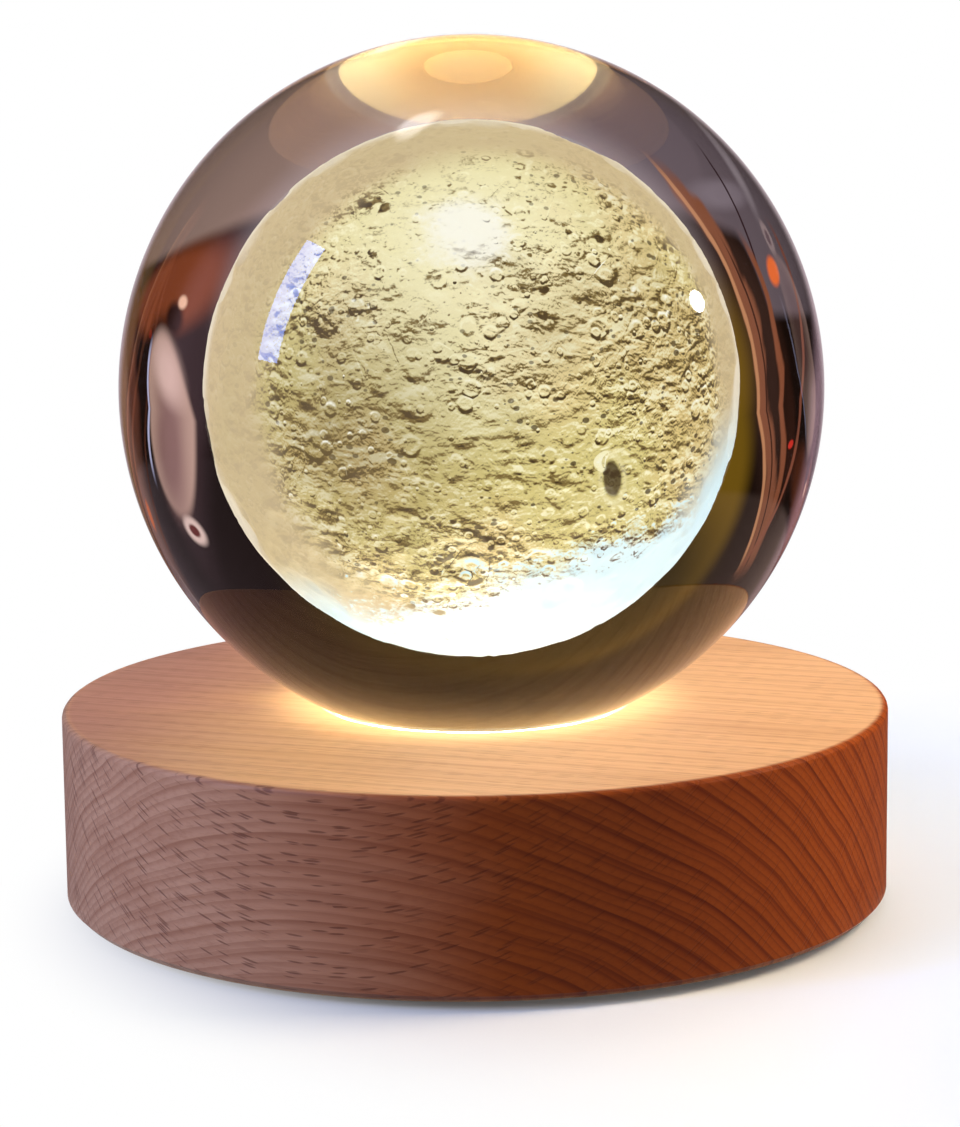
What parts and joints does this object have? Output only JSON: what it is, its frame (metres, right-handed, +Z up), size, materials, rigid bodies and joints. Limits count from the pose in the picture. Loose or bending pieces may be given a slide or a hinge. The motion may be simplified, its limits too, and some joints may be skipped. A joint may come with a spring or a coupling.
{
  "type": "moon lamp",
  "caption": "Table lamp: a clear crystal ball with a cratered moon engraved inside, resting in the lit well of a round wooden base with a rear power socket.",
  "frame": {"origin": "middle of the circle under the base, on the surface that the foot pads stand on", "axes": "+Z up through the ball's centre, -Y to the front, +Y to the power socket at the back, +X to the right as seen from the front"},
  "size_m": [0.095, 0.095, 0.099],
  "materials": {
    "crystal": "polished optical glass",
    "engraving": "frosted laser marks, lit warm from below",
    "beech": "satin oiled beech",
    "frosted_window": "frosted, lit from below",
    "white_plastic": "moulded white",
    "white_board": "white solder mask",
    "led_phosphor": "phosphor gel",
    "black_component": "moulded black",
    "zinc_screw": "zinc plated",
    "red_insulation": "smooth insulation",
    "black_insulation": "smooth insulation",
    "solder": "bright solder",
    "green_board": "green solder mask",
    "socket_steel": "drawn steel",
    "black_plastic": "fine moulded grain",
    "gold_contact": "gold plated",
    "black_screw": "black oxide",
    "foot_rubber": "matt rubber"
  },
  "bodies": {
    "base": {"wood_base": "beech", "light_window": "frosted_window", "light_reflector": "white_plastic", "led_board": "white_board", "led_chips": "led_phosphor", "led_resistors": "black_component", "led_board_screws": "zinc_screw", "lead_red": "red_insulation", "lead_black": "black_insulation", "solder_joints": "solder", "inlet_board": "green_board", "inlet_resistors": "black_component", "inlet_screws": "zinc_screw", "usb_shell": "socket_steel", "usb_tongue": "black_plastic", "usb_contacts": "gold_contact", "bottom_cover": "black_plastic", "cover_screws": "black_screw", "foot_pads": "foot_rubber"},
    "ball": {"crystal_ball": "crystal", "engraved_moon": "engraving"}
  },
  "joints": [
    {"name": "ball_lift", "type": "slide", "parent": "base", "child": "ball", "axis": [0, 0, 1], "range_m": [0, 0.05]}
  ]
}
